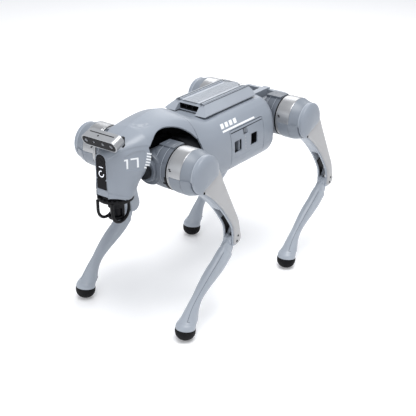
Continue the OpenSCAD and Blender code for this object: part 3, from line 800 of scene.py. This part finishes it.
def make_face():
    edge = PANEL_EDGE
    panel = facing(prism(edge, rounded(0, 5.2, 0.3, 1.0)), NOSE_X - 5.6)
    piece("panel", panel, TRUNK, "trunk", "gloss_black", nodes=["face_panel"])
    rim = [(NOSE_X - 0.9, y, z) for y, z in np.array(edge) + outline_normals(edge) * 0.9]
    piece("panel_rim", tube(rim, 1.0, 12, closed=True), TRUNK, "trunk", "shell_paint")
    front = NOSE_X - 0.6
    outer = [(7.6, -1), (8.2, 0.1), (7.6, 0.45), (6.9, 0.1), (6.2, -0.9), (5.0, -1)]
    inner = [(4.9, -1), (4.9, 0.1), (4.2, 0.35), (3.6, -0.2), (0, -0.4)]
    rings = [disc(0, 390, front, profile, 64) for profile in (outer, inner)]
    piece("face_lens", join(*rings), TRUNK, "trunk", "guard_black", closed=False)
    glass = disc(0, 390, front, [(4.2, -0.5), (3.4, 0.0), (2.0, 0.35), (0, 0.45)])
    piece("face_lens_glass", glass, TRUNK, "trunk", "gloss_black", closed=False)
    bar = facing(prism(rounded_rect(-5.5, 5.5, 376.2, 378, 0.85), rounded(-0.8, 0.35, 0.2, 0.3)), front)
    c_outer = arc(0, 363, 6.9, 75, 370, 40)
    c_inner = arc(0, 363, 5.0, 370, 75, 40)
    ring = facing(prism(c_outer + c_inner, [(0, -0.8), (0, 0.2), (0.25, 0.4)]), front)
    dot = disc(0.8, 363, front, [(0, -0.5), (2.0, -0.5), (2.0, 0.2), (1.5, 0.4), (0, 0.45)])
    piece("face_glow", join(bar, ring), TRUNK, "trunk", "light_white", nodes=["face_lights"])
    piece("face_dot", dot, TRUNK, "trunk", "guard_black")


def stadium(half, r, n=20):
    return arc(half - r, 0, r, -90, 90, n) + arc(r - half, 0, r, 90, 270, n)


def make_depth_camera():
    place = TRUNK @ Matrix.Translation((NOSE_X + 2, 0, 426.5)) @ turn(math.radians(20))
    levels = [(0.8, -25), (0, -24), (0, -1.2), (0.3, -0.4), (1.0, 0), (2.2, 0), (2.5, -1.6)]
    shell = facing(prism(stadium(45, 12.5), levels), 0)
    piece("camera_shell", shell, place, "trunk", "camera_silver", nodes=["depth_camera"])
    glass = facing(prism(stadium(42.4, 9.9), rounded(-1.4, -0.5, 0.1, 0.3)), 0)
    piece("camera_glass", glass, place, "trunk", "gloss_black", nodes=["depth_camera_window"])
    lenses, pupils = [], []
    for y, r in ((-33, 5.6), (-13, 4.2), (10, 5.0), (31, 5.6)):
        ring = [(r, 0), (r, 0.25), (r - 0.7, 0.4), (r - 1.4, 0.1), (r - 1.5, -0.3)]
        lenses.append(disc(y, 0, -0.5, ring))
        pupils.append(disc(y, 0, -0.5, [(r - 1.7, 0.0), (r - 2.6, 0.3), (0, 0.45)]))
    piece("camera_lens_rings", join(*lenses), place, "trunk", "guard_black", closed=False)
    mark("camera_pupils", join(*pupils), place, "trunk", "pupil_blue", slot="gloss_black")
    # Painted shade: a thin black strip along the camera's top where its groove lies in shade; no groove is cut.
    groove = rounded_box((-16.4, -31, 12.0), (-13.8, 31, 12.62), 0.2)
    piece("camera_groove_shade", groove, place, "trunk", "guard_black")
    top_screw = lathe([(0, 0), (2.0, 0), (2.0, 0.5), (1.6, 0.8), (1.0, 0.8), (0.9, 0.4), (0, 0.4)], 24)
    upright = standing(top_screw)
    piece("camera_screw", moved(upright, Matrix.Translation((-8, -4, 12.2))), place, "trunk", "screw_black")
    softened("camera_bracket", 0.6)
    clamps = []
    for y in (-25, 25):
        clamps.append(rounded_box((280, y - 3, 412), (287, y + 3, 433), 1.2))
        clamps.append(moved(upright, Matrix.Translation((283.5, y, 432.8)) @ Matrix.Scale(1.7, 4)))
    piece("camera_clamps", join(*clamps), TRUNK, "trunk", "screw_black")


def make_lidar():
    """Chin ring that fills the gap under the tilted chin, wire hoops and the range finder."""
    ring = standing(lathe([(0, 298), (33, 298), (36.6, 299), (37.2, 300.5), (37.2, 303.5), (36.2, 305),
                           (30, 306), (0, 306)], 96))
    hoop_x, hoop_z, hoop_r = 8, 279, 24
    hoops = []
    for y in (-19.6, 19.6):
        path = [(hoop_x + hoop_r, 300), (hoop_x + hoop_r, 290)] + arc(hoop_x, hoop_z, hoop_r, 0, -180, 20)
        path += [(hoop_x - hoop_r, 290), (hoop_x - hoop_r, 300)]
        hoops.append(tube([(x, y, z) for x, z in path], 3.2, 16))
    nose = lathe([(0, 300), (18, 300), (18, 311), (17, 312), (0, 312)], 48)
    prow = [(x + 15, z * 0.8, y) for x, y, z in nose[0]], nose[1]
    teeth = [rounded_box((x - 1.6, y - 1.6, 300), (x + 1.6, y + 1.6, 308), 0.6)
             for x, y in arc(0, 0, 35.4, -80, 80, 10)]
    place = TRUNK @ Matrix.Translation((LIDAR_X, 0, 0))
    piece("guard", join(ring, *hoops), place, "trunk", "guard_black", nodes=["lidar_guard"])
    piece("chin_filler", join(prow, *teeth), place, "trunk", "black_plastic")
    softened("lidar_base", 0.8, 3)
    window = lathe([(0, 262), (12.6, 262), (12.9, 262.6), (12.9, 281.4), (12.6, 282), (0, 282)], 64)
    piece("lidar_drum", standing(window), place, "lidar_rotor", "gloss_black", nodes=["lidar_rotor"])


def make_deck_groove_shade():
    """Thin dark strips along the deck's ribs and beside each of its two rails: painted shade for the grooves
    there.
    """
    rib_low, rib_top, rail_low, rail_top = 433.2, 433.45, 433.9, 434.1
    shade_strips = [rounded_box((-128, y - 0.6, rib_low), (44, y + 0.6, rib_top), 0.05)
             for y in [4 * k - 16 for k in range(9)] + [-37, 37]]
    shade_strips += [rounded_box((-125, y - 1.6, rail_low), (44, y + 1.6, rail_top), 0.05) for y in (-30.2, 30.2)]
    # Painted shade: dark strips laid on the deck where its grooves fall into shade.
    piece("deck_groove_shade", join(*shade_strips), TRUNK, "trunk", "frame_dark")


# ---- Legs ----

# Depth below the hip, then the X of the thigh's rear and front edges there.
THIGH_ROWS = [(20, -40, 32), (52, -38.5, 17), (82, -37.5, 6.5), (117, -36.5, -2), (150, -35.5, -6.5),
              (180, -34, -8), (200, -28.5, -2)]
FORK_X, FORK_R, HEAD_R = -7, 17.5, 41
RING_LOW, RING_HIGH = 94, 128.6
FORK_IN, FORK_OUT, COVER_OUT = LEG_Y - 8.6, LEG_Y + 8.6, LEG_Y + 16


def thigh_edge(column, shift=0.0):
    return smooth_line([(r[column] + shift, -r[0]) for r in THIGH_ROWS], 6)


def thigh_outline(front=0.0, rear=0.0, grow=0.0):
    """Side of the thigh in thigh axes; front and rear pull those edges in."""
    back, ahead = thigh_edge(1, rear), thigh_edge(2, -front)
    head = arc(0, 0, HEAD_R - front * 0.5 + grow, 25, 185, 30)
    fork = arc(FORK_X + rear / 2 - front / 2, -LINK, FORK_R - front / 2 - rear / 2, 200, 335, 18)
    return head + back + fork + list(reversed(ahead))


def make_hip(leg, end, side):
    place = leg_place(end, side) @ Matrix.Diagonal((end, 1, 1, 1))
    drum = lathe([(0, 47), (33, 47), (40, 48.5), (43.6, 51.5), (44.4, 55), (44.4, 60.5), (45.4, 61.2),
                  (45.4, 91.6), (44.6, 93.0), (30, 93.4), (0, 93.4)], 128)
    shell = lathe([(44.6, 63), (46.3, 63.2), (46.9, 64.2), (46.9, 77.6), (46.2, 78.2), (46.2, 79.4),
                   (46.9, 80), (46.9, 90.6), (46.2, 91.5), (44.6, 91.6)], 96, start=26, sweep=-236)
    cap = lathe([(44.0, 55.5), (45.6, 55.8), (46.1, 57), (46.1, 60), (45.6, 61.2), (44.0, 61.4)], 96,
                start=60, sweep=-300)
    top = rounded_box((-19, 52, 38), (15, 90, 46.6), 1.6)
    piece(leg + "_drum", join(drum, shell, cap, top), place, leg + "_hip", "housing_blue",
          nodes=[leg + "_hip_housing"])
    barrel = lathe([(0, -46.6), (30, -46.6), (33.4, -45), (34, -43), (34, 40), (32.6, 43), (25, 44),
                    (24, 45), (24, 50), (22.6, 51.7), (0, 51.7)], 96)
    along = [(y, x + ROLL_Y, z) for x, y, z in barrel[0]], barrel[1]
    piece(leg + "_barrel", along, place, leg + "_hip", "housing_blue")
    # Painted highlight: two thin lighter bands over the upper side of the drum's steps.
    highlight_bands = [lathe([(46.4, y), (47.05, y + 0.1), (47.05, y + 0.7), (46.4, y + 0.8)], 72, start=150,
                   sweep=-170) for y in (63.4, 80.2)]
    piece(leg + "_drum_highlight", join(*highlight_bands), place, leg + "_hip", "shank_blue")
    seams = lathe([(45.2, 92.0), (46.4, 92.2), (46.6, 93.1), (45.8, 93.5), (40, 93.5)], 128)
    piece(leg + "_drum_seal", seams, place, leg + "_hip", "guard_black", closed=False)
    gap = lathe([(44, 88.2), (46.6, 88.3), (47, 88.8), (47, 93.2), (46.6, 93.6), (44, 93.6)], 32,
                start=-6, sweep=-56)
    piece(leg + "_drum_gap", gap, place, leg + "_hip", "guard_black")
    slot = rounded_box((36.5, 84, -22), (43.5, 92.2, -10), 1.0)
    piece(leg + "_cable_slot", slot, place, leg + "_hip", "guard_black")


def make_motor(leg, end, side):
    place = leg_place(end, side) @ turn(LEAN)
    ring = lathe([(14.2, RING_LOW), (42, RING_LOW), (45.4, RING_LOW + 0.3), (46.1, RING_LOW + 1.2),
                  (46.1, 98), (46.7, 98.5), (47, 99.4), (47, 127.4), (46.4, RING_HIGH),
                  (14.2, RING_HIGH)], 144)
    piece(leg + "_ring", ring, place, leg + "_thigh", "ring_silver", nodes=[leg + "_calf_motor"])
    belly = lathe([(40, 101), (47.6, 101.2), (48.3, 102.2), (48.3, 127.6), (47.6, RING_HIGH),
                   (40, RING_HIGH)], 5, start=26, sweep=-101)
    piece(leg + "_ring_skirt", belly, place, leg + "_thigh", "thigh_grey")
    ticks = [lathe([(46.6, y), (47.12, y + 0.1), (47.12, y + 4.6), (46.6, y + 4.7)], 6, start=at, sweep=-3)
             for y, at in ((99.8, 47), (101.8, 43.5))]
    piece(leg + "_ring_tick", join(*ticks), place, leg + "_thigh", "guard_black")


def make_thigh(leg, end, side):
    place = leg_place(end, side) @ turn(LEAN)
    body = leg + "_thigh"
    cone = lathe([(0, RING_HIGH + 0.2), (46.2, RING_HIGH + 0.2), (47, RING_HIGH + 1.2), (46.6, 131),
                  (43.4, 139), (41.6, 147), (41.0, FORK_OUT - 0.2), (0, FORK_OUT - 0.2)], 144)
    facet = lathe([(38, RING_HIGH + 0.1), (47.6, RING_HIGH + 0.2), (48.3, RING_HIGH + 1.2), (47.6, 134),
                   (45.2, 141.5), (43.4, 147.5), (42, 149.4), (38, 149.6)], 5, start=26, sweep=-101)
    inner = prism(thigh_outline(), rounded(RING_HIGH + 0.1, FORK_IN, 1.6, 0.6))
    rims = []
    for column, lowest, middle in ((1, -180, -31.8), (2, -112, -1.5)):
        rim = [p for p in thigh_edge(column) if lowest < p[1] < -28]
        rim += [(middle, rim[-1][1]), (middle, rim[0][1])]
        rims.append(prism(rim, [(0, FORK_IN - 0.2), (0, FORK_OUT)]))
    pin = lathe([(0, FORK_IN), (5, FORK_IN), (5, FORK_OUT - 0.2), (0, FORK_OUT - 0.2)], 48)
    pin = moved(pin, Matrix.Translation((0, 0, -LINK)))
    piece(leg + "_frame", join(inner, *rims, pin), place, body, "shank_blue", nodes=[leg + "_thigh_frame"])
    piece(leg + "_cone", join(cone, facet), place, body, "thigh_grey")
    edge_band = prism(thigh_outline(0.6, 0.4), rounded(FORK_OUT, FORK_OUT + 2.6, 0.2, 1.0))
    piece(leg + "_cover_edge", edge_band, place, body, "shank_blue")
    bend = [math.pi / 2 * k / 7 for k in range(8)]
    levels = [(4.6 * (1 - math.cos(a)), COVER_OUT - 4.4 * (1 - math.sin(a))) for a in bend]
    cover = prism(thigh_outline(4.6, 0.6, 1.2), [(0, FORK_OUT + 1.6)] + levels)
    piece(leg + "_cover", cover, place, body, "cover_grey", nodes=[leg + "_thigh_cover"])
    cap_edge = arc(-0.4, 0.4, 40.3, -33, 226, 60)
    base = COVER_OUT - 0.6
    rise = [(1, -4.5), (1, 0.9), (0.985, 2.0), (0.95, 3.6), (0.88, 5.6), (0.78, 7.6), (0.66, 9.1),
            (0.50, 10.3), (0.30, 11.1), (0.10, 11.4)]
    cap = domed(cap_edge, (-2, 8), [(scale, base + y) for scale, y in rise])
    piece(leg + "_cap", cap, place, body, "shell_paint", sharp=60, nodes=[leg + "_dome_cap"])
    holes = [(23, -29, 2.1), (FORK_X - 6, -LINK + 4, 1.9), (FORK_X + 3, -LINK - 4, 1.9)]
    screws = []
    for x, z, r in holes:
        screw = lathe([(0, 0.0), (r + 0.7, 0.0), (r + 0.7, 0.25), (r, 0.3), (r - 0.3, -0.2), (0, -0.25)], 32)
        screws.append(moved(screw, Matrix.Translation((x, COVER_OUT + 0.05, z))))
    piece(leg + "_cover_screws", join(*screws), place, body, "screw_black")
    # Painted shade: thin black sheets on the inner faces of the knee fork, darkening the cavity above the knee.
    fork = [p for p in thigh_outline(3, 3) if p[1] < -150]
    lining = [prism(fork, [(0, y), (0, y + 0.15)]) for y in (FORK_IN + 0.02, FORK_OUT - 0.22)]
    piece(leg + "_fork_shade", join(*lining), place, body, "black_plastic")
    softened(leg + "_knee_crank", 0.5)
    softened(leg + "_knee_rod", 0.5)


# Depth below the knee, then the shank's middle in X, half its width and half its thickness there.
SHANK_ROWS = np.array([
    [3, -4, 11, 8], [14, -6, 16, 8.2], [21, -6, 18, 8.4], [26, -6, 18.8, 12.2], [40, -4, 19.2, 12.8],
    [56, -2, 18.9, 12.8], [85, 5, 16.8, 13], [120, 11.5, 12.8, 11.8], [144, 13, 11.2, 11],
    [165, 11, 13.5, 13], [183, 6.5, 17, 16.5], [200, 1.2, 20.6, 20.6], [208.6, 0, 21.2, 21.2]])
ANKLE_TILT = 0.85 * (FOLD - LEAN)


def shank_row(u):
    rows = SHANK_ROWS
    i = int(np.clip(np.searchsorted(rows[:, 0], u) - 1, 0, len(rows) - 2))
    t = (u - rows[i, 0]) / (rows[i + 1, 0] - rows[i, 0])
    return spline(rows[max(i - 1, 0)], rows[i], rows[i + 1], rows[min(i + 2, len(rows) - 1)], t)


def on_shank(u, angle, out=0.0):
    """Point of the shank: round and level at the ankle, ridged in front and flat-cheeked above."""
    _, cx, half_w, half_t = shank_row(u)
    slim = float(step((150 - u) / 90))
    groove = 0.6 * math.exp(-((u - 195) / 0.9) ** 2) - out
    c, s = math.cos(angle), math.sin(angle)
    p = 2 + slim
    r = (abs(c) ** p + abs(s) ** p) ** (-1 / p)
    ridge = 1 - 0.10 * slim * (1 - abs(c) ** 6) * (c > 0)
    x = (half_w * r * ridge - groove) * c
    y = (half_t * r * min(1, ridge + 0.04) - groove) * s
    tilt = ANKLE_TILT * float(step((u - 150) / 52))
    pull = float(step((u - 186) / 22))
    pivot = Vector((cx * (1 - pull), 0, -u + (u - LINK) * pull))
    spot = pivot + turn(tilt) @ (Vector((cx + x, 0, -u)) - pivot)
    return spot.x, LEG_Y + y, spot.z


def shank_ring(u, count=72):
    return [on_shank(u, 2 * math.pi * k / count) for k in range(count)]


def make_shank(leg, end, side):
    place = leg_place(end, side) @ turn(LEAN) @ Matrix.Translation((0, 0, -LINK)) @ turn(-FOLD)
    body = leg + "_shank"
    us = list(np.linspace(3, 190, 90)) + list(np.linspace(191, 208.4, 24))
    limb = rings_solid([shank_ring(u) for u in us])
    lever_y = LEG_Y - 0.8
    knuckle = lathe([(5.1, FORK_IN + 0.4), (12.2, FORK_IN + 0.4), (13, FORK_IN + 1.2), (13, lever_y - 0.6),
                     (12.4, lever_y), (10.5, lever_y), (10.5, FORK_OUT - 1), (9.9, FORK_OUT - 0.4),
                     (5.1, FORK_OUT - 0.4)], 72)
    bridge = rounded_box((-11.5, FORK_IN + 0.4, -24), (8.5, lever_y, 0), 1.0)
    lever = rounded_box((-4.8, FORK_IN + 0.4, 3), (4.8, lever_y, 26), 0.8)
    boss = lathe([(0, FORK_IN + 0.4), (4.6, FORK_IN + 0.4), (5, FORK_IN + 0.8), (5, lever_y - 0.3),
                  (4.6, lever_y), (2.5, lever_y), (2.5, FORK_OUT - 0.4), (0, FORK_OUT - 0.4)], 40)
    arm = join(lever, moved(boss, Matrix.Translation((0, 0, 26))))
    arm = moved(arm, turn(FOLD - math.radians(63)))
    piece(leg + "_limb", join(limb, knuckle, bridge, arm), place, body, "shank_blue", sharp=40,
          nodes=[leg + "_shank"])
    line = [on_shank(u, math.radians(38 - 12 * step((u - 120) / 60)), 0.02) for u in np.linspace(34, 190, 60)]
    hook = [on_shank(190, math.radians(26 + 3 * k), 0.02) for k in range(1, 7)]
    piece(leg + "_shank_line", tube(line + hook, 0.45, 8), place, body, "housing_blue")
    dot = lathe([(0, -0.6), (2.1, -0.6), (2.1, 0.2), (1.8, 0.3), (1.5, -0.2), (0, -0.3)], 24)
    holes = []
    for a in (205, 232):
        at = Vector(on_shank(186, math.radians(a)))
        out = (at - Vector((shank_row(186)[1], LEG_Y, at.z))).normalized()
        facing_out = Vector((0, 1, 0)).rotation_difference(out).to_matrix().to_4x4()
        holes.append(moved(dot, Matrix.Translation(at) @ facing_out))
    piece(leg + "_ankle_screws", join(*holes), place, body, "screw_black")
    sole = []
    for k in range(25):
        a = math.radians(95 * k / 24)
        high = math.copysign(abs(math.cos(a)) ** 0.88, math.cos(a))
        sole.append((FOOT_R * max(0, math.sin(a)) ** 0.88, -0.975 * FOOT_R * high))
    sole += [(21.7, 3.2), (21.3, 4.1), (20.4, 4.3), (0, 4.3)]
    upright = moved(standing(lathe(sole, 96)), Matrix.Translation((0, LEG_Y, -LINK)) @ turn(ANKLE_TILT))
    piece(leg + "_sole", upright, place, body, "foot_rubber", sharp=50, nodes=[leg + "_foot"])


# ---- Stage ----


def area_light(name, place, target, size, watts, colour=(1, 1, 1)):
    data = bpy.data.lights.new(name, "AREA")
    data.shape = "RECTANGLE"
    data.size, data.size_y = size
    data.energy = watts
    data.color = colour
    obj = bpy.data.objects.new(name, data)
    obj.location = place
    obj.rotation_euler = (Vector(target) - Vector(place)).to_track_quat("-Z", "Y").to_euler()
    bpy.context.scene.collection.objects.link(obj)


def make_stage():
    scene = bpy.context.scene
    data = bpy.data.cameras.new("camera")
    data.lens, data.sensor_width = 79.98, 36
    camera = bpy.data.objects.new("camera", data)
    camera.location = (1.511 + MID_X * MM, 1.154, 1.074)
    yaw, pitch = math.radians(216.97), math.radians(25.49)
    look = Vector((math.cos(yaw) * math.cos(pitch), math.sin(yaw) * math.cos(pitch), -math.sin(pitch)))
    camera.rotation_euler = look.to_track_quat("-Z", "Y").to_euler()
    scene.collection.objects.link(camera)
    scene.camera = camera

    mesh = bpy.data.meshes.new("floor")
    mesh.from_pydata([(-9, -9, 0), (9, -9, 0), (9, 9, 0), (-9, 9, 0)], [], [(0, 1, 2, 3)])
    floor = bpy.data.objects.new("floor", mesh)
    scene.collection.objects.link(floor)
    grey = (0.93, 0.93, 0.935)
    mesh.materials.append(finish_material("floor", grey, 0.7, mottle=0.006, bump=0.02, light=0.2))

    world = bpy.data.worlds.new("studio")
    scene.world = world
    world.use_nodes = True
    background = world.node_tree.nodes["Background"]
    background.inputs["Color"].default_value = (0.94, 0.96, 1.0, 1)
    background.inputs["Strength"].default_value = 0.6
    middle = (MID_X * MM, 0, 0.3)
    area_light("key", (0.3, 0.5, 2.6), middle, (1.5, 1.5), 50)
    area_light("fill", (2.2, -0.6, 1.2), middle, (1.4, 1.4), 6, (0.93, 0.96, 1.0))
    area_light("back", (-1.8, -1.2, 1.8), middle, (1.5, 1.5), 16)
    scene.view_settings.view_transform = "Standard"


make_stage()
make_shells()
make_battery()
make_marks()
make_face()
make_depth_camera()
make_lidar()
for leg, end, side in LEGS:
    make_hip(leg, end, side)
    make_motor(leg, end, side)
    make_thigh(leg, end, side)
    make_shank(leg, end, side)
make_deck_groove_shade()
softened("payload_deck", 0.3)
for node in ("deck_vents", "rear_cover", "belly_cover", "belly_pads"):
    softened(node)
for node, obj in frame["nodes"].items():
    obj.data.materials.clear()
    obj.data.materials.append(FINISH[SLOT_OF[node]])
